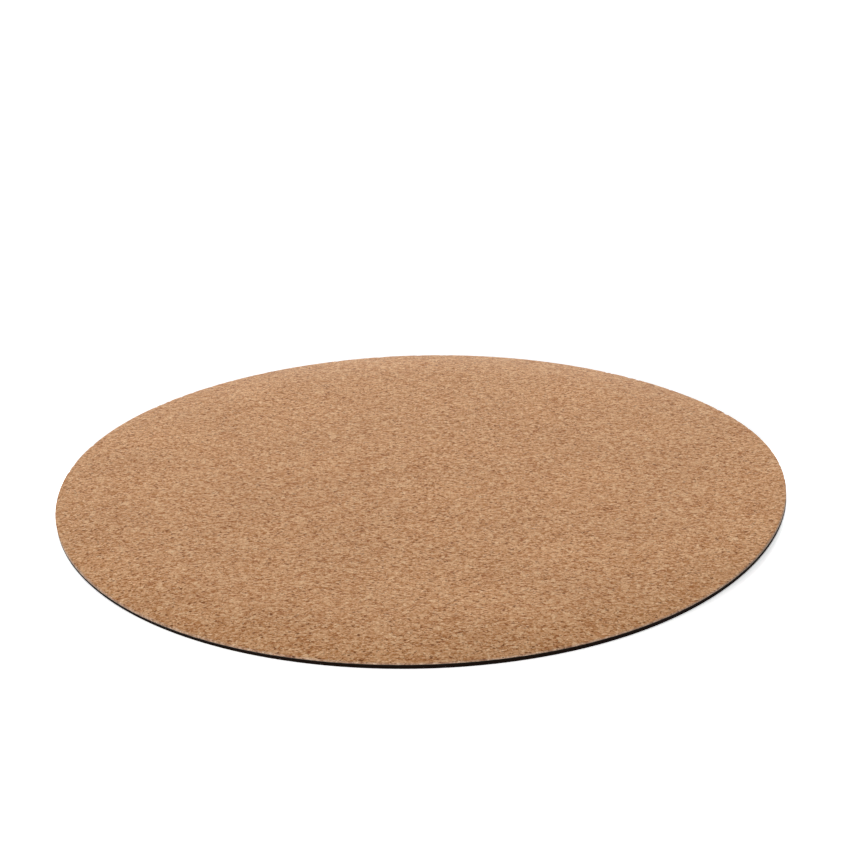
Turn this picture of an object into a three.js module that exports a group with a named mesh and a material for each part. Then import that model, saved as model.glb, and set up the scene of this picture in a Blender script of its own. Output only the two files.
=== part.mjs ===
// A round desk pad made of three sheets: a black rubber base, a film of adhesive and a
// sheet of agglomerated cork. They are laminated first and then cut out together by one
// round die, so all three share one diameter and one cut rim.
// Units are millimetres and +Z is up. The origin is the centre of the underside.

import * as THREE from "three";

// Driving dimensions
const PAD_DIAMETER = 200;
const BASE_THICKNESS = 1.0;
const ADHESIVE_THICKNESS = 0.1;
const CORK_THICKNESS = 0.6;

// The die rounds the cork's top edge as it goes in and the base's lower edge as it comes out.
const CORK_EDGE_RADIUS = 0.15;
const BASE_EDGE_RADIUS = 0.1;

// How finely the round rim and its rounded edges are divided
const RIM_SEGMENTS = 240;
const EDGE_SEGMENTS = 4;

// Levels in the stack, measured up from the underside
const BASE_TOP = BASE_THICKNESS;
const ADHESIVE_TOP = BASE_TOP + ADHESIVE_THICKNESS;
const CORK_TOP = ADHESIVE_TOP + CORK_THICKNESS;

const CORK_MATERIAL = new THREE.MeshStandardMaterial({
  color: 0xbb8f6c,
  roughness: 0.85,
  metalness: 0,
});
const ADHESIVE_MATERIAL = new THREE.MeshStandardMaterial({
  color: 0x4a4036,
  roughness: 0.5,
  metalness: 0,
});
const RUBBER_MATERIAL = new THREE.MeshStandardMaterial({
  color: 0x1a1816,
  roughness: 0.9,
  metalness: 0,
});

// A quarter circle of profile points from one angle to the other, both included.
function roundedEdge(centreX, centreY, radius, fromAngle, toAngle) {
  const points = [];
  for (let step = 0; step <= EDGE_SEGMENTS; step += 1) {
    const angle = THREE.MathUtils.lerp(fromAngle, toAngle, step / EDGE_SEGMENTS);
    const x = centreX + radius * Math.cos(angle);
    const y = centreY + radius * Math.sin(angle);
    points.push(new THREE.Vector2(x, y));
  }
  return points;
}

// One round sheet between two levels. The profile runs from the axis out along the lower
// face, up the cut rim and back to the axis along the upper face. A rounded edge takes at
// most half of the sheet's thickness, and an edge with no radius is a plain corner.
function roundSheet(bottom, top, lowerRadius, upperRadius) {
  const rimRadius = PAD_DIAMETER / 2;
  const halfThickness = (top - bottom) / 2;
  const lower = Math.min(lowerRadius, halfThickness);
  const upper = Math.min(upperRadius, halfThickness);
  const profile = [new THREE.Vector2(0, bottom)];
  if (lower > 0) {
    profile.push(...roundedEdge(rimRadius - lower, bottom + lower, lower, -Math.PI / 2, 0));
  } else {
    profile.push(new THREE.Vector2(rimRadius, bottom));
  }
  if (upper > 0) {
    profile.push(...roundedEdge(rimRadius - upper, top - upper, upper, 0, Math.PI / 2));
  } else {
    profile.push(new THREE.Vector2(rimRadius, top));
  }
  profile.push(new THREE.Vector2(0, top));
  return new THREE.LatheGeometry(profile, RIM_SEGMENTS);
}

// A mesh with its name, ready to join the stack.
function namedSheet(name, geometry, material) {
  const mesh = new THREE.Mesh(geometry, material);
  mesh.name = name;
  return mesh;
}

function baseSheet() {
  const geometry = roundSheet(0, BASE_TOP, BASE_EDGE_RADIUS, 0);
  return namedSheet("base_sheet", geometry, RUBBER_MATERIAL);
}

function adhesiveFilm() {
  const geometry = roundSheet(BASE_TOP, ADHESIVE_TOP, 0, 0);
  return namedSheet("adhesive_film", geometry, ADHESIVE_MATERIAL);
}

function corkSheet() {
  const geometry = roundSheet(ADHESIVE_TOP, CORK_TOP, 0, CORK_EDGE_RADIUS);
  return namedSheet("cork_sheet", geometry, CORK_MATERIAL);
}

// The sheets are turned about the Y axis as lathes are, and this group stands them on Z.
const stack = new THREE.Group();
stack.rotation.x = Math.PI / 2;
stack.add(baseSheet(), adhesiveFilm(), corkSheet());

const pad = new THREE.Group();
pad.add(stack);

export default pad;
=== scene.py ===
"""Dresses the round cork desk pad around its fixed frame.

The pad is a die-cut laminate of three sheets. Each sheet is a class that builds its own
fine mesh and dresses it, and all of them follow one relaxed form, because the laminate
bends as a whole. Units are metres and +Z is up. The origin is the centre of the flat
pad's underside, on the surface that it lies on.
"""

import logging
import math
from dataclasses import dataclass
from enum import Enum
from typing import Any

import bpy
import numpy as np
from mathutils import Matrix, Vector


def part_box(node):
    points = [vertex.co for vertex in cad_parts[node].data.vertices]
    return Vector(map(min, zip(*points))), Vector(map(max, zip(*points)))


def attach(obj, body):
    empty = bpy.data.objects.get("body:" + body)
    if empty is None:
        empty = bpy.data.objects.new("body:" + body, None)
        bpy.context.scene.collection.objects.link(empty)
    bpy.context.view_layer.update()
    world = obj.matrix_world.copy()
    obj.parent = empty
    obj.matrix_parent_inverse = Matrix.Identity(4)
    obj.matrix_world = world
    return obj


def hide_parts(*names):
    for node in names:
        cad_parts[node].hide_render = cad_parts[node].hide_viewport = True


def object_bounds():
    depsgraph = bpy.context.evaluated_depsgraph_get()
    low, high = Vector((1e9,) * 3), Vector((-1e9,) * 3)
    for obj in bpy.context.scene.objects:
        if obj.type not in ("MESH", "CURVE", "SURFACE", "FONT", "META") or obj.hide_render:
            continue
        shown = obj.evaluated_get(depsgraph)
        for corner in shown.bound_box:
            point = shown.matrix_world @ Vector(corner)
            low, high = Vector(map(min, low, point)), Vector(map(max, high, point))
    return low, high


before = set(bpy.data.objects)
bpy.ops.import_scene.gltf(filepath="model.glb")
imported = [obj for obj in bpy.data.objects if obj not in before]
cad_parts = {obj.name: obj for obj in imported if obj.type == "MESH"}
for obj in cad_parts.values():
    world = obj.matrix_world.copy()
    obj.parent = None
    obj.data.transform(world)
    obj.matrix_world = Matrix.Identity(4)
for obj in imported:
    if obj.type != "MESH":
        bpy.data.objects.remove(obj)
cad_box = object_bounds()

MM = 0.001
PHOTO_PIXELS = 850

# Nearly all of a smooth noise lies between the first and last of these, round the middle.
NOISE_LOW = 0.3
NOISE_MIDDLE = 0.5
NOISE_HIGH = 0.7

Array = np.ndarray
Tree = bpy.types.NodeTree
Values = dict[str | int, Any]
Triangle = tuple[int, int, int]
log = logging.getLogger("pad")


class Face(Enum):
    """The parts of a sheet's surface that are made in different ways."""

    SHEET = 0
    CUT = 1


# Colours and shader nodes


def linear(colour: str) -> tuple[float, float, float, float]:
    """Turns an sRGB hex colour into the linear colour that a shader takes.

    Args:
        colour: six hex digits after a hash, such as "#bb8f6c".

    Returns:
        Linear red, green and blue, with an alpha of one.
    """
    channels = [int(colour[i : i + 2], 16) / 255 for i in (1, 3, 5)]
    values = [c / 12.92 if c <= 0.04045 else ((c + 0.055) / 1.055) ** 2.4 for c in channels]
    return (values[0], values[1], values[2], 1.0)


def add_node(tree: Tree, kind: str, settings: Values, links: Values | None = None) -> Any:
    """Adds a shader node with its settings and links.

    Args:
        tree: the node tree that takes the node.
        kind: the node's type, without the word ShaderNode at its start.
        settings: values for the node's own properties and for its inputs. "stops" holds a
            colour ramp's hex colours by their places from 0 to 1.
        links: the output sockets that feed the node's inputs.

    Returns:
        The new node.
    """
    node = tree.nodes.new("ShaderNode" + kind)
    for name, value in settings.items():
        if name == "stops":
            while len(node.color_ramp.elements) < len(value):
                node.color_ramp.elements.new(0.5)
            for element, (place, colour) in zip(node.color_ramp.elements, value.items()):
                element.position = place
                element.color = linear(colour)
        elif isinstance(name, str) and hasattr(node, name):
            setattr(node, name, value)
        else:
            node.inputs[name].default_value = value
    for name, socket in (links or {}).items():
        tree.links.new(socket, node.inputs[name])
    return node


def new_material(name: str) -> tuple[bpy.types.Material, Tree, Any]:
    """Makes a node material with only an output and the object's own coordinates.

    Args:
        name: the material's name.

    Returns:
        The material, its node tree and its coordinate socket.
    """
    material = bpy.data.materials.new(name)
    material.use_nodes = True
    tree = material.node_tree
    tree.nodes.clear()
    add_node(tree, "OutputMaterial", {})
    return material, tree, add_node(tree, "TexCoord", {}).outputs["Object"]


def connect(tree: Tree, shader: Any) -> None:
    """Sends a shader's result to the tree's output."""
    tree.links.new(shader.outputs[0], tree.nodes[0].inputs["Surface"])


# Finishes


@dataclass(frozen=True)
class AgglomeratedCork:
    """Ground bark pressed with a binder into a block and sliced into sheets.

    To the eye it is a dry, matte, warm brown field of small angular granules in near
    tones, with darker seams of binder, sparse dark flecks of outer bark and a few pale
    granules. The press flattened them, so in the slice they are a little longer one way.
    The cells torn open by the knife give it a faint warm sheen at a low angle, as velvet
    has. The real ones, about 0.03 mm, are too fine to show, so they are drawn at cell_size.
    A granule's edge, middle and shoulder are measured as shares of its size.
    """

    name: str
    granule_size: float = 0.68 * MM
    crumb_size: float = 0.38 * MM
    flattening: float = 1.3
    cell_size: float = 0.20 * MM
    seam_width: float = 0.05 * MM
    outline_wander: float = 0.16 * MM
    mottle_size: float = 24 * MM
    relief_depth: float = 0.03 * MM
    granule_tones: tuple[str, ...] = ("#894827", "#ae7542", "#cb976a", "#daad82", "#e9c69d")
    pale_colour: str = "#f6d1a7"
    bark_colour: str = "#713d14"
    char_colour: str = "#69380d"
    binder_colour: str = "#7a4616"
    crumb_share: float = 0.50
    bark_share: float = 0.055
    char_share: float = 0.075
    pale_share: float = 0.035
    faint_share: float = 0.2
    fleck_edge: float = 0.60
    fleck_middle: float = 0.35
    binder_strength: float = 0.55
    mottle_strength: float = 0.04
    shoulder_width: float = 0.15
    shoulder_rise: float = 0.2
    cell_rise: float = 0.2
    brightness: float = 1.0
    saturation: float = 1.0
    roughness: float = 0.88
    ior: float = 1.45
    specular: float = 0.14
    sheen: float = 0.42
    sheen_tint: str = "#fff1e2"
    sheen_roughness: float = 0.3

    def material(self) -> bpy.types.Material:
        """Builds the cork's shader.

        Returns:
            The finished material.
        """
        material, tree, place = new_material(self.name)
        flattened = add_node(
            tree,
            "VectorMath",
            {"operation": "MULTIPLY", 1: (1 / self.flattening, self.flattening, 1.0)},
            {0: place},
        )
        place = flattened.outputs[0]
        swells = add_node(
            tree,
            "TexNoise",
            {"Scale": 1 / self.granule_size, "Detail": 2.0},
            {"Vector": place},
        )
        wandered = self._wander(tree, place, swells)
        granules = add_node(tree, "TexVoronoi", {"Scale": 1 / self.granule_size}, {"Vector": wandered})
        crumbs = add_node(tree, "TexVoronoi", {"Scale": 1 / self.crumb_size}, {"Vector": wandered})
        edges = add_node(
            tree,
            "TexVoronoi",
            {"feature": "DISTANCE_TO_EDGE", "Scale": 1 / self.granule_size},
            {"Vector": wandered},
        )
        cells = add_node(tree, "TexNoise", {"Scale": 1 / self.cell_size, "Detail": 1.0}, {"Vector": place})
        granule = add_node(tree, "SeparateColor", {}, {0: granules.outputs["Color"]})
        crumb = add_node(tree, "SeparateColor", {}, {0: crumbs.outputs["Color"]})
        tone = add_node(
            tree,
            "Mix",
            {0: self.crumb_share},
            {2: granule.outputs[0], 3: crumb.outputs[0]},
        )
        last = len(self.granule_tones) - 1
        stops = {step / last: colour for step, colour in enumerate(self.granule_tones)}
        colour = add_node(tree, "ValToRGB", {"stops": stops}, {0: tone.outputs[0]}).outputs[0]
        colour = self._flecks(tree, colour, crumb.outputs[2], crumbs, self.pale_share, self.pale_colour)
        colour = self._flecks(tree, colour, granule.outputs[1], granules, self.bark_share, self.bark_colour)
        colour = self._flecks(tree, colour, crumb.outputs[1], crumbs, self.char_share, self.char_colour)
        colour = self._seams(tree, colour, edges)
        colour = self._mottle(tree, colour, place)
        bump = self._relief(tree, swells, edges, cells)
        shader = add_node(
            tree,
            "BsdfPrincipled",
            {
                "Roughness": self.roughness,
                "IOR": self.ior,
                "Specular IOR Level": self.specular,
                "Sheen Weight": self.sheen,
                "Sheen Tint": linear(self.sheen_tint),
                "Sheen Roughness": self.sheen_roughness,
            },
            {"Base Color": colour, "Normal": bump},
        )
        connect(tree, shader)
        return material

    def _wander(self, tree: Tree, place: Any, swells: Any) -> Any:
        """Bends the coordinates a little, so that granules have uneven outlines.

        Args:
            tree: the material's node tree.
            place: the coordinate socket.
            swells: the smooth noise node that bends them.

        Returns:
            The bent coordinates.
        """
        centred = add_node(
            tree,
            "VectorMath",
            {"operation": "SUBTRACT", 1: (NOISE_MIDDLE,) * 3},
            {0: swells.outputs["Color"]},
        )
        reach = (2 * self.outline_wander,) * 3
        bent = add_node(
            tree,
            "VectorMath",
            {"operation": "MULTIPLY_ADD", 1: reach},
            {0: centred.outputs[0], 2: place},
        )
        return bent.outputs[0]

    def _flecks(self, tree: Tree, under: Any, chance: Any, cells: Any, share: float, colour: str) -> Any:
        """Paints a small share of the granules, a few of them faintly, from the middle outwards.

        Args:
            tree: the material's node tree.
            under: the colour below the flecks.
            chance: each granule's own random number.
            cells: the granules' pattern node.
            share: how many of the granules are painted.
            colour: the flecks' hex colour.

        Returns:
            The colour with the flecks on it.
        """
        picked = add_node(
            tree,
            "MapRange",
            {"From Min": 1 - share, "From Max": 1 - (1 - self.faint_share) * share},
            {"Value": chance},
        )
        middle = add_node(
            tree,
            "MapRange",
            {"From Min": self.fleck_edge, "From Max": self.fleck_middle},
            {"Value": cells.outputs["Distance"]},
        )
        amount = add_node(
            tree,
            "Math",
            {"operation": "MULTIPLY"},
            {0: picked.outputs[0], 1: middle.outputs[0]},
        )
        fleck = add_node(
            tree,
            "Mix",
            {"data_type": "RGBA", 7: linear(colour)},
            {0: amount.outputs[0], 6: under},
        )
        return fleck.outputs[2]

    def _seams(self, tree: Tree, under: Any, edges: Any) -> Any:
        """Darkens the thin lines of binder between the granules.

        Args:
            tree: the material's node tree.
            under: the colour of the granules.
            edges: the node that measures the distance to a granule's edge.

        Returns:
            The colour with the seams in it.
        """
        width = self.seam_width / self.granule_size
        seam = add_node(
            tree,
            "MapRange",
            {"From Max": width, "To Min": self.binder_strength, "To Max": 0.0},
            {"Value": edges.outputs["Distance"]},
        )
        darkened = add_node(
            tree,
            "Mix",
            {"data_type": "RGBA", 7: linear(self.binder_colour)},
            {0: seam.outputs[0], 6: under},
        )
        return darkened.outputs[2]

    def _mottle(self, tree: Tree, under: Any, place: Any) -> Any:
        """Varies brightness a little over wide patches.

        Args:
            tree: the material's node tree.
            under: the colour so far.
            place: the coordinate socket.

        Returns:
            The varied colour.
        """
        cloud = add_node(tree, "TexNoise", {"Scale": 1 / self.mottle_size, "Detail": 3.0}, {"Vector": place})
        level = add_node(
            tree,
            "MapRange",
            {
                "From Min": NOISE_LOW,
                "From Max": NOISE_HIGH,
                "To Min": (1 - self.mottle_strength) * self.brightness,
                "To Max": (1 + self.mottle_strength) * self.brightness,
            },
            {"Value": cloud.outputs[0]},
        )
        toned = add_node(
            tree,
            "HueSaturation",
            {"Saturation": self.saturation},
            {"Value": level.outputs[0], "Color": under},
        )
        return toned.outputs[0]

    def _relief(self, tree: Tree, swells: Any, edges: Any, cells: Any) -> Any:
        """Lifts the granules unevenly, sinks their seams and roughens them with torn cells.

        Args:
            tree: the material's node tree.
            swells: the smooth noise node that lifts them.
            edges: the node that measures the distance to a granule's edge.
            cells: the fine noise of torn cells.

        Returns:
            The bumped normal.
        """
        rounded = add_node(
            tree,
            "MapRange",
            {"From Max": self.shoulder_width, "To Max": self.shoulder_rise},
            {"Value": edges.outputs["Distance"]},
        )
        granule = add_node(
            tree,
            "Math",
            {"operation": "ADD"},
            {0: rounded.outputs[0], 1: swells.outputs[0]},
        )
        height = add_node(
            tree,
            "Math",
            {"operation": "MULTIPLY_ADD", 1: self.cell_rise},
            {0: cells.outputs[0], 2: granule.outputs[0]},
        )
        bump = add_node(tree, "Bump", {"Distance": self.relief_depth}, {"Height": height.outputs[0]})
        return bump.outputs[0]


@dataclass(frozen=True)
class CalenderedRubber:
    """Black rubber rolled hot into a thin sheet.

    To the eye it is nearly black and matte, with faint dusty clouds and fine pores. The
    real pores, about 0.1 mm, are too fine to show, so they are drawn at pore_size.
    """

    name: str
    colour: str = "#0e0b09"
    dusty: str = "#191511"
    pore_size: float = 0.5 * MM
    cloud_size: float = 18 * MM
    pore_depth: float = 0.03 * MM
    dust_start: float = 0.15
    dust_end: float = 0.45
    roughness: float = 0.85
    roughness_swing: float = 0.08
    ior: float = 1.52
    specular: float = 0.2

    def material(self) -> bpy.types.Material:
        """Builds the rubber's shader.

        Returns:
            The finished material.
        """
        material, tree, place = new_material(self.name)
        pores = add_node(tree, "TexNoise", {"Scale": 1 / self.pore_size, "Detail": 3.0}, {"Vector": place})
        cloud = add_node(tree, "TexNoise", {"Scale": 1 / self.cloud_size, "Detail": 4.0}, {"Vector": place})
        dust = add_node(tree, "Math", {"operation": "MULTIPLY"}, {0: pores.outputs[0], 1: cloud.outputs[0]})
        stops = {self.dust_start: self.colour, self.dust_end: self.dusty}
        colour = add_node(tree, "ValToRGB", {"stops": stops}, {0: dust.outputs[0]})
        matte = add_node(
            tree,
            "MapRange",
            {
                "From Min": NOISE_LOW,
                "From Max": NOISE_HIGH,
                "To Min": self.roughness - self.roughness_swing,
                "To Max": self.roughness + self.roughness_swing,
            },
            {"Value": cloud.outputs[0]},
        )
        bump = add_node(tree, "Bump", {"Distance": self.pore_depth}, {"Height": pores.outputs[0]})
        shader = add_node(
            tree,
            "BsdfPrincipled",
            {"IOR": self.ior, "Specular IOR Level": self.specular},
            {"Base Color": colour.outputs[0], "Roughness": matte.outputs[0], "Normal": bump.outputs[0]},
        )
        connect(tree, shader)
        return material


@dataclass(frozen=True)
class AcrylicAdhesive:
    """A transfer film of acrylic adhesive, squeezed flat between the sheets.

    To the eye it is only a dull dark line in the cut rim, a little glossier than the
    sheets on either side.
    """

    name: str = "acrylic_adhesive_pressed"
    colour: str = "#4a4036"
    thin: str = "#352c24"
    streak_size: float = 3 * MM
    roughness: float = 0.5
    ior: float = 1.47

    def material(self) -> bpy.types.Material:
        """Builds the adhesive's shader.

        Returns:
            The finished material.
        """
        material, tree, place = new_material(self.name)
        streaks = add_node(
            tree,
            "TexNoise",
            {"Scale": 1 / self.streak_size, "Detail": 3.0},
            {"Vector": place},
        )
        stops = {NOISE_LOW: self.thin, NOISE_HIGH: self.colour}
        colour = add_node(tree, "ValToRGB", {"stops": stops}, {0: streaks.outputs[0]})
        shader = add_node(
            tree,
            "BsdfPrincipled",
            {"Roughness": self.roughness, "IOR": self.ior},
            {"Base Color": colour.outputs[0]},
        )
        connect(tree, shader)
        return material


# The laminate's relaxed form


@dataclass(frozen=True)
class RelaxedForm:
    """How the flexible laminate lies when it has been unrolled and set down.

    Its front and back rims touch the surface below, its middle stands a little proud, and
    its two side ends are lifted. The middle is level, and over its last stretch, which is
    wider at the back than at the front, it rolls to its rim's own height. The die squeezed
    the soft rubber as it went in, so that the seams stand a little higher in some places
    of the cut rim than in others.
    """

    radius: float
    thickness: float
    middle_lift: float = 1.95 * MM
    right_lift: float = 2.75 * MM
    left_lift: float = 1.14 * MM
    ridge_turn: float = math.radians(-7.25)
    front_roll: float = 18.5 * MM
    back_roll: float = 24.0 * MM
    lobe_power: float = 4.2
    roll_power: float = 2.0
    squeeze: float = 0.28 * MM
    squeeze_turn: float = math.radians(-76.0)
    squeeze_reach: float = 3.0 * MM
    step: float = 0.05 * MM

    def rim_lift(self, x: Array, y: Array) -> Array:
        """Gives the rim's height above the surface below, in each point's direction.

        Args:
            x: places along X.
            y: places along Y.

        Returns:
            The underside's height at the rim.
        """
        along = np.cos(np.arctan2(y, x) - self.ridge_turn)
        mean = (self.right_lift + self.left_lift) / 2
        difference = (self.right_lift - self.left_lift) / 2
        return (mean + difference * along) * np.abs(along) ** self.lobe_power

    def lift(self, x: Array, y: Array) -> Array:
        """Gives the underside's height above the surface below at each point.

        Args:
            x: places along X.
            y: places along Y.

        Returns:
            The heights.
        """
        frontness = (1 - np.sin(np.arctan2(y, x))) / 2
        width = self.back_roll + (self.front_roll - self.back_roll) * frontness
        into_roll = np.clip((np.hypot(x, y) - self.radius) / width + 1, 0, None)
        return self.middle_lift + (self.rim_lift(x, y) - self.middle_lift) * into_roll**self.roll_power

    def squeezed(self, x: Array, y: Array, level: Array) -> Array:
        """Gives how far the die moved the inside of the laminate up or down near its rim.

        Args:
            x: places along X in the flat laminate.
            y: places along Y in the flat laminate.
            level: heights above the laminate's underside.

        Returns:
            The shift of each point, which is nothing on the two outer faces.
        """
        inside = 4 * level * (self.thickness - level) / self.thickness**2
        near_rim = np.clip(1 - (self.radius - np.hypot(x, y)) / self.squeeze_reach, 0, 1) ** 2
        around = np.cos(2 * (np.arctan2(y, x) - self.squeeze_turn))
        return self.squeeze * around * near_rim * np.clip(inside, 0, 1)

    def bend(self, x: Array, y: Array, level: Array) -> tuple[Array, Array, Array]:
        """Carries points of the flat laminate to where they lie, square to the bent sheets.

        Args:
            x: places along X in the flat laminate.
            y: places along Y in the flat laminate.
            level: heights above the laminate's underside.

        Returns:
            The three coordinates of each point.
        """
        level = level + self.squeezed(x, y, level)
        slope_x = (self.lift(x + self.step, y) - self.lift(x - self.step, y)) / (2 * self.step)
        slope_y = (self.lift(x, y + self.step) - self.lift(x, y - self.step)) / (2 * self.step)
        leaning = level - self.thickness / 2
        return x - slope_x * leaning, y - slope_y * leaning, level + self.lift(x, y)


# Patterns that shape the meshes


@dataclass(frozen=True)
class GranulePattern:
    """Granules round seeded points, one to a square of a grid."""

    size: float
    seed: int
    table: int = 257

    def cells(self, x: Array, y: Array) -> tuple[Array, Array]:
        """Finds the granule that each point lies in.

        Args:
            x: places along one way of the surface.
            y: places along the other.

        Returns:
            Each granule's own random number from 0 to 1, and how far inside its edge the
            point is, as a share of the granule's size.
        """
        random = np.random.default_rng(self.seed)
        shift = random.random((self.table, self.table, 2))
        number = random.random((self.table, self.table))
        column, row = np.floor(x / self.size), np.floor(y / self.size)
        nearest = np.full(x.shape, np.inf)
        second = np.full(x.shape, np.inf)
        value = np.zeros(x.shape)
        for i, j in ((column + a, row + b) for a in (-1, 0, 1) for b in (-1, 0, 1)):
            key = (i.astype(int) % self.table, j.astype(int) % self.table)
            away = np.hypot(i + shift[key][..., 0] - x / self.size, j + shift[key][..., 1] - y / self.size)
            closer = away < nearest
            second = np.where(closer, nearest, np.minimum(second, away))
            value = np.where(closer, number[key], value)
            nearest = np.where(closer, away, nearest)
        return value, second - nearest


@dataclass(frozen=True)
class Ring:
    """One circle of points on a sheet, and how the band that leads to it was made."""

    radius: float
    level: float
    count: int
    face: Face


def stitch(first: int, first_count: int, second: int, second_count: int) -> list[Triangle]:
    """Joins two rings of points with a band of triangles.

    Args:
        first: the number of the first ring's first vertex.
        first_count: how many vertices the first ring has.
        second: the number of the second ring's first vertex.
        second_count: how many vertices the second ring has.

    Returns:
        The band's triangles.
    """
    band = []
    i = j = 0
    while i < first_count or j < second_count:
        here, there = first + i % first_count, second + j % second_count
        if j >= second_count or (i < first_count and (i + 1) * second_count <= (j + 1) * first_count):
            i += 1
            band.append((here, first + i % first_count, there))
        else:
            j += 1
            band.append((here, second + j % second_count, there))
    return band


# The sheets


@dataclass
class RoundSheet:
    """A thin round sheet between two levels, die-cut at its rim.

    Its surface is a list of rings that runs from the middle of its underside out round the
    rim and back to the middle of its top, so that it is one closed body. On a broad face
    each ring has as many points more than the one inside it as there are sectors, which
    keeps the triangles even.
    """

    name: str
    slot: str
    bottom: float
    top: float
    form: RelaxedForm
    lower_spacing: float = 2.5 * MM
    upper_spacing: float = 2.5 * MM
    rim_spacing: float = 0.63 * MM
    lower_edge: float = 0.0
    upper_edge: float = 0.0
    edge_steps: int = 3
    wall_steps: int = 3
    sectors: int = 6

    def rim_count(self) -> int:
        """Gives the number of points round the rim."""
        return round(2 * math.pi * self.form.radius / self.rim_spacing)

    def broad_rings(self, level: float, edge: float, spacing: float) -> list[Ring]:
        """Lays rings over a broad face.

        Args:
            level: the face's height in the flat laminate.
            edge: how far inside the rim the flat face ends.
            spacing: the distance between rings.

        Returns:
            The rings from the middle outwards, without the middle point.
        """
        reach = self.form.radius - edge
        steps = round(reach / spacing)
        rings = [Ring(reach * k / steps, level, self.sectors * k, Face.SHEET) for k in range(1, steps)]
        return rings + [Ring(reach, level, self.rim_count(), Face.SHEET)]

    def rim_rings(self) -> list[Ring]:
        """Lays rings up the cut rim and round its softened edges.

        Returns:
            The rings between the two broad faces.
        """
        low = self.bottom + self.lower_edge
        high = self.top - self.upper_edge
        profile = []
        for step in range(1, self.edge_steps if self.lower_edge else 1):
            turn = math.pi / 2 * step / self.edge_steps
            profile.append((self.lower_edge * (1 - math.sin(turn)), low - self.lower_edge * math.cos(turn)))
        walls = range(0 if self.lower_edge else 1, self.wall_steps + (1 if self.upper_edge else 0))
        profile += [(0.0, low + (high - low) * step / self.wall_steps) for step in walls]
        for step in range(1, self.edge_steps if self.upper_edge else 1):
            turn = math.pi / 2 * step / self.edge_steps
            profile.append((self.upper_edge * (1 - math.cos(turn)), high + self.upper_edge * math.sin(turn)))
        return [Ring(self.form.radius - inset, level, self.rim_count(), Face.CUT) for inset, level in profile]

    def rings(self) -> list[Ring]:
        """Lays every ring of the sheet.

        Returns:
            The rings in order, from the middle of the underside to the middle of the top.
        """
        lower = self.broad_rings(self.bottom, self.lower_edge, self.lower_spacing)
        upper = self.broad_rings(self.top, self.upper_edge, self.upper_spacing)[::-1]
        corner = Ring(upper[0].radius, upper[0].level, upper[0].count, Face.CUT)
        return lower + self.rim_rings() + [corner] + upper[1:]

    def relief(self, x: Array, y: Array, level: Array) -> tuple[Array, Array]:
        """Shapes the surface finely. A plain sheet has no relief.

        Args:
            x: places along X.
            y: places along Y.
            level: heights in the flat laminate.

        Returns:
            How far each point moves outwards, and how far it moves up.
        """
        return np.zeros(x.shape), np.zeros(x.shape)

    def points(self, rings: list[Ring]) -> Array:
        """Places every vertex on the relaxed form.

        Args:
            rings: the sheet's rings in order.

        Returns:
            One row of three coordinates a vertex, with the two middle points last.
        """
        radius = np.concatenate([np.full(r.count, r.radius) for r in rings] + [np.zeros(2)])
        level = np.concatenate([np.full(r.count, r.level) for r in rings] + [[self.bottom, self.top]])
        angle = np.concatenate([np.arange(r.count) * 2 * math.pi / r.count for r in rings] + [np.zeros(2)])
        x, y = radius * np.cos(angle), radius * np.sin(angle)
        outwards, upwards = self.relief(x, y, level)
        x, y = x + outwards * np.cos(angle), y + outwards * np.sin(angle)
        return np.column_stack(self.form.bend(x, y, level + upwards))

    def faces(self, rings: list[Ring]) -> tuple[list[Triangle], list[int]]:
        """Joins neighbouring rings with triangles and closes both middles.

        Args:
            rings: the sheet's rings in order.

        Returns:
            The triangles by vertex number, and each one's material number.
        """
        starts = np.concatenate([[0], np.cumsum([r.count for r in rings])]).tolist()
        triangles = [(starts[-1], (k + 1) % rings[0].count, k) for k in range(rings[0].count)]
        kinds = [Face.SHEET.value] * len(triangles)
        for number, (inner, outer) in enumerate(zip(rings, rings[1:])):
            band = stitch(starts[number], inner.count, starts[number + 1], outer.count)
            triangles += band
            kinds += [outer.face.value] * len(band)
        last = rings[-1].count
        cap = [(starts[-2] + k, starts[-2] + (k + 1) % last, starts[-1] + 1) for k in range(last)]
        return triangles + cap, kinds + [Face.SHEET.value] * last

    def build(self, broad: bpy.types.Material, cut: bpy.types.Material) -> None:
        """Builds the sheet, dresses it, hangs it on the root body and hides its node.

        Args:
            broad: the material of its two broad faces.
            cut: the material of its cut rim.
        """
        rings = self.rings()
        triangles, kinds = self.faces(rings)
        mesh = bpy.data.meshes.new(self.name)
        mesh.from_pydata(self.points(rings).tolist(), [], triangles)
        mesh.materials.append(broad)
        mesh.materials.append(cut)
        mesh.polygons.foreach_set("material_index", kinds)
        mesh.polygons.foreach_set("use_smooth", [True] * len(kinds))
        mesh.update()
        piece = bpy.data.objects.new(self.name + "_skin", mesh)
        bpy.context.scene.collection.objects.link(piece)
        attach(piece, "root")
        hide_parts(self.name)
        log.info("%s: %d triangles", piece.name, len(triangles))


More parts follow.
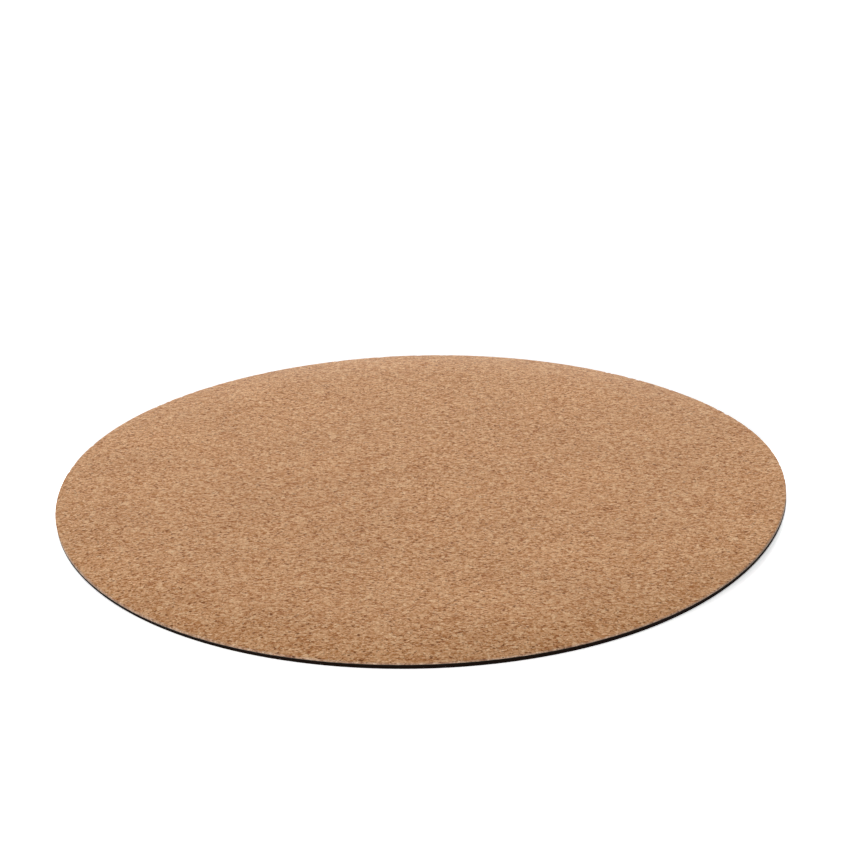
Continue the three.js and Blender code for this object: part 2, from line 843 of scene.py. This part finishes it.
@dataclass
class CorkSheet(RoundSheet):
    """The working surface: granules stand in low relief on it, and its rim is a little ragged.

    Chips reach inwards from the rim by chip_reach times the softened edge, and down to
    chip_floor as a share of the thickness. Pits and chips are as deep as they get where a
    point is one part in hole_steepness of a granule inside its edge. Most granules stay a
    little inside the die's cut, and rim_flush is the share of them that do. On the cut the
    pattern shifts with height by rim_slant, so that it shows as granules and not as stripes.
    """

    granules: GranulePattern = GranulePattern(1.1 * MM, 11)
    granule_rise: float = 0.07 * MM
    pit_depth: float = 0.12 * MM
    pit_share: float = 0.07
    chips: GranulePattern = GranulePattern(1.6 * MM, 12)
    chip_depth: float = 0.16 * MM
    chip_share: float = 0.16
    chip_reach: float = 2.0
    chip_floor: float = 0.7
    hole_steepness: float = 3.0
    rim_raggedness: float = 0.05 * MM
    rim_flush: float = 0.8
    rim_slant: float = 3.0
    top_share: float = 0.99
    rim_margin: float = 1.01

    def relief(self, x: Array, y: Array, level: Array) -> tuple[Array, Array]:
        """Raises and sinks granules on the top, and tears a few out of the cut rim.

        Args:
            x: places along X.
            y: places along Y.
            level: heights in the flat laminate.

        Returns:
            How far each point moves outwards, and how far it moves up.
        """
        share = (level - self.bottom) / (self.top - self.bottom)
        radius = np.hypot(x, y)
        number, inside = self.granules.cells(x, y)
        hole = np.clip(inside * self.hole_steepness, 0, 1)
        pit = np.where(number < self.pit_share, self.pit_depth * hole, 0)
        up = (self.granule_rise * (number - 0.5) - pit) * (share > self.top_share)
        chip_number, chip_inside = self.chips.cells(x, y)
        hole = np.clip(chip_inside * self.hole_steepness, 0, 1)
        chip = np.where(chip_number < self.chip_share, self.chip_depth * hole, 0)
        near_rim = radius > self.form.radius - self.chip_reach * self.upper_edge
        up -= np.where(near_rim & (share > self.chip_floor), chip, 0)
        slant = self.rim_slant * level
        wall_number, _ = self.granules.cells(x + slant, y - slant)
        on_rim = radius > self.form.radius - self.rim_margin * self.upper_edge
        return np.where(on_rim, self.rim_raggedness * (wall_number - self.rim_flush), 0), up


@dataclass
class BaseSheet(RoundSheet):
    """The rubber sheet below, with a grip of shallow round dimples in its underside."""

    dimple_pitch: float = 4.0 * MM
    dimple_depth: float = 0.22 * MM
    grip_margin: float = 3.0 * MM

    def relief(self, x: Array, y: Array, level: Array) -> tuple[Array, Array]:
        """Sinks the dimples into the underside, on a grid of even triangles.

        Args:
            x: places along X.
            y: places along Y.
            level: heights in the flat laminate.

        Returns:
            How far each point moves outwards, and how far it moves up.
        """
        wave = 2 * math.pi / self.dimple_pitch
        slant = wave / math.sqrt(3)
        even = np.cos(2 * slant * y) + np.cos(wave * x + slant * y) + np.cos(wave * x - slant * y)
        depth = self.dimple_depth * np.clip(even / 3, 0, 1)
        edge = self.form.radius - self.grip_margin - np.hypot(x, y)
        inner = np.clip(edge / self.grip_margin, 0, 1)
        return np.zeros(x.shape), np.where(level <= self.bottom, depth * inner, 0)


@dataclass(frozen=True)
class Pad:
    """The laminate: three sheets between the levels that their nodes have, all on one form.

    The die leaves the rubber's rim duller and browner than its rolled face, and the cork's
    rim paler and greyer than its sliced one.
    """

    form: RelaxedForm
    base_spacing: float = 0.65 * MM
    base_edge: float = 0.1 * MM
    cork_spacing: float = 0.61 * MM
    cork_edge: float = 0.15 * MM
    rubber: CalenderedRubber = CalenderedRubber("calendered_rubber_black")
    cut_rubber: CalenderedRubber = CalenderedRubber(
        "calendered_rubber_die_cut", colour="#120905", dusty="#1d130d", roughness=0.9, specular=0.05
    )
    adhesive: AcrylicAdhesive = AcrylicAdhesive()
    cork: AgglomeratedCork = AgglomeratedCork("agglomerated_cork_sliced")
    cut_cork: AgglomeratedCork = AgglomeratedCork(
        "agglomerated_cork_die_cut", brightness=1.04, saturation=0.8
    )

    def levels(self, node: str) -> tuple[float, float]:
        """Gives a node's lowest and highest level."""
        low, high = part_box(node)
        return low.z, high.z

    def build(self) -> None:
        """Makes the five materials, then the three sheets from the bottom up."""
        rubber, cut_rubber = self.rubber.material(), self.cut_rubber.material()
        adhesive = self.adhesive.material()
        cork, cut_cork = self.cork.material(), self.cut_cork.material()
        base = BaseSheet(
            "base_sheet",
            "base_rubber",
            *self.levels("base_sheet"),
            self.form,
            lower_spacing=self.base_spacing,
            lower_edge=self.base_edge,
        )
        film = RoundSheet("adhesive_film", "adhesive", *self.levels("adhesive_film"), self.form, wall_steps=2)
        sheet = CorkSheet(
            "cork_sheet",
            "cork",
            *self.levels("cork_sheet"),
            self.form,
            upper_spacing=self.cork_spacing,
            upper_edge=self.cork_edge,
        )
        base.build(rubber, cut_rubber)
        film.build(adhesive, adhesive)
        sheet.build(cork, cut_cork)


# The studio


@dataclass(frozen=True)
class Softbox:
    """A rectangular diffused lamp that faces the middle of the pad.

    Its two angles are in degrees, its distance and sides in metres, and its power in watts.
    """

    name: str
    azimuth: float
    elevation: float
    distance: float
    width: float
    height: float
    power: float

    def build(self) -> None:
        """Makes the lamp and turns it towards the pad."""
        light = bpy.data.lights.new(self.name, "AREA")
        light.shape = "RECTANGLE"
        light.size = self.width
        light.size_y = self.height
        light.energy = self.power
        lamp = bpy.data.objects.new(self.name, light)
        turn, rise = math.radians(self.azimuth), math.radians(self.elevation)
        way = Vector((math.cos(turn) * math.cos(rise), math.sin(turn) * math.cos(rise), math.sin(rise)))
        lamp.location = way * self.distance
        lamp.rotation_euler = way.to_track_quat("Z", "Y").to_euler()
        bpy.context.scene.collection.objects.link(lamp)


@dataclass(frozen=True)
class Studio:
    """A plain pale floor, soft light from behind and a low reflector in front.

    The floor and the sky show the camera and clear reflections a white that lights nothing
    else, so the floor is white where nothing shades it and still keeps the pad's shadow. In
    front of the pad it is seen overexposed, as a white floor is in such a picture, so that
    the shadow looks narrow there. It ends before the lamps fall off, and the sky's white
    goes on from its edge.
    """

    softboxes: tuple[Softbox, ...] = (
        Softbox("back_softbox", 94.5, 33.0, distance=1.75, width=2.08, height=1.09, power=40.9),
        Softbox("front_reflector", 252.0, 20.0, distance=1.6, width=2.0, height=0.6, power=15.6),
    )
    sky_strength: float = 0.144
    floor_reach: float = 1.2
    floor_colour: str = "#f3f3f3"
    front_gain: float = 2.25
    back_gain: float = 0.75
    gain_fade: float = 30 * MM
    floor_glow: float = 0.42

    def build(self) -> None:
        """Sets up the floor, the sky and the lamps."""
        self._floor()
        self._sky()
        for softbox in self.softboxes:
            softbox.build()
        bpy.context.scene.view_settings.view_transform = "Standard"

    def _seen(self, tree: Tree) -> Any:
        """Tells the camera's rays and clear reflections from the rays that light things.

        Args:
            tree: the node tree that takes the nodes.

        Returns:
            A socket that is one for what is seen and zero for what is lit.
        """
        path = add_node(tree, "LightPath", {})
        seen = path.outputs["Is Camera Ray"]
        for kind in ("Is Glossy Ray", "Is Transmission Ray"):
            either = add_node(tree, "Math", {"operation": "MAXIMUM"}, {0: seen, 1: path.outputs[kind]})
            seen = either.outputs[0]
        return seen

    def _floor(self) -> None:
        """Lays the floor."""
        reach = self.floor_reach
        mesh = bpy.data.meshes.new("floor")
        corners = [(-reach, -reach, 0), (reach, -reach, 0), (reach, reach, 0), (-reach, reach, 0)]
        mesh.from_pydata(corners, [], [(0, 1, 2, 3)])
        material, tree, place = new_material("paper_white_matte")
        seen = self._seen(tree)
        along = add_node(tree, "SeparateXYZ", {}, {0: place})
        gain = add_node(
            tree,
            "MapRange",
            {"From Max": self.gain_fade, "To Min": self.front_gain, "To Max": self.back_gain},
            {"Value": along.outputs["Y"]},
        )
        colour = add_node(
            tree,
            "Mix",
            {"data_type": "RGBA", 6: linear(self.floor_colour)},
            {0: seen, 7: gain.outputs[0]},
        )
        paper = add_node(tree, "BsdfDiffuse", {}, {"Color": colour.outputs[2]})
        level = add_node(tree, "Math", {"operation": "MULTIPLY", 1: self.floor_glow}, {0: seen})
        glow = add_node(tree, "Emission", {}, {"Strength": level.outputs[0]})
        connect(tree, add_node(tree, "AddShader", {}, {0: paper.outputs[0], 1: glow.outputs[0]}))
        mesh.materials.append(material)
        floor = bpy.data.objects.new("floor", mesh)
        bpy.context.scene.collection.objects.link(floor)

    def _sky(self) -> None:
        """Lights everything evenly from above, and shows white where it is seen."""
        world = bpy.data.worlds.new("studio")
        bpy.context.scene.world = world
        world.use_nodes = True
        tree = world.node_tree
        tree.nodes.clear()
        add_node(tree, "OutputWorld", {})
        level = add_node(tree, "MapRange", {"To Min": self.sky_strength}, {"Value": self._seen(tree)})
        white = (1.0, 1.0, 1.0, 1.0)
        connect(tree, add_node(tree, "Background", {"Color": white}, {"Strength": level.outputs[0]}))


@dataclass(frozen=True)
class PhotoCamera:
    """The camera, by its height above the pad, its distance, its aim and its roll."""

    elevation: float = math.radians(24.667)
    distance: float = 556.1 * MM
    aim: tuple[float, float, float] = (1.70 * MM, 0.0, 19.32 * MM)
    roll: float = math.radians(-1.453)
    focal_pixels: float = 2000.0
    sensor_width: float = 36.0
    clip_start: float = 10 * MM

    def build(self) -> None:
        """Places the camera and makes it the scene's own."""
        place = Vector((0, -math.cos(self.elevation), math.sin(self.elevation))) * self.distance
        back = (place - Vector(self.aim)).normalized()
        right = Vector((0, 0, 1)).cross(back).normalized()
        up = back.cross(right)
        cosine, sine = math.cos(self.roll), math.sin(self.roll)
        turn = Matrix((right * cosine + up * sine, up * cosine - right * sine, back)).transposed()
        data = bpy.data.cameras.new("photo_camera")
        data.sensor_width = self.sensor_width
        data.lens = self.sensor_width * self.focal_pixels / PHOTO_PIXELS
        data.clip_start = self.clip_start
        camera = bpy.data.objects.new("photo_camera", data)
        camera.matrix_world = Matrix.Translation(place) @ turn.to_4x4()
        bpy.context.scene.collection.objects.link(camera)
        bpy.context.scene.camera = camera


def main() -> None:
    """Builds the pad, the studio and the camera."""
    logging.basicConfig(level=logging.INFO, format="%(message)s")
    low, high = cad_box
    Pad(RelaxedForm(radius=(high.x - low.x) / 2, thickness=high.z - low.z)).build()
    Studio().build()
    PhotoCamera().build()


if __name__ == "__main__":
    main()
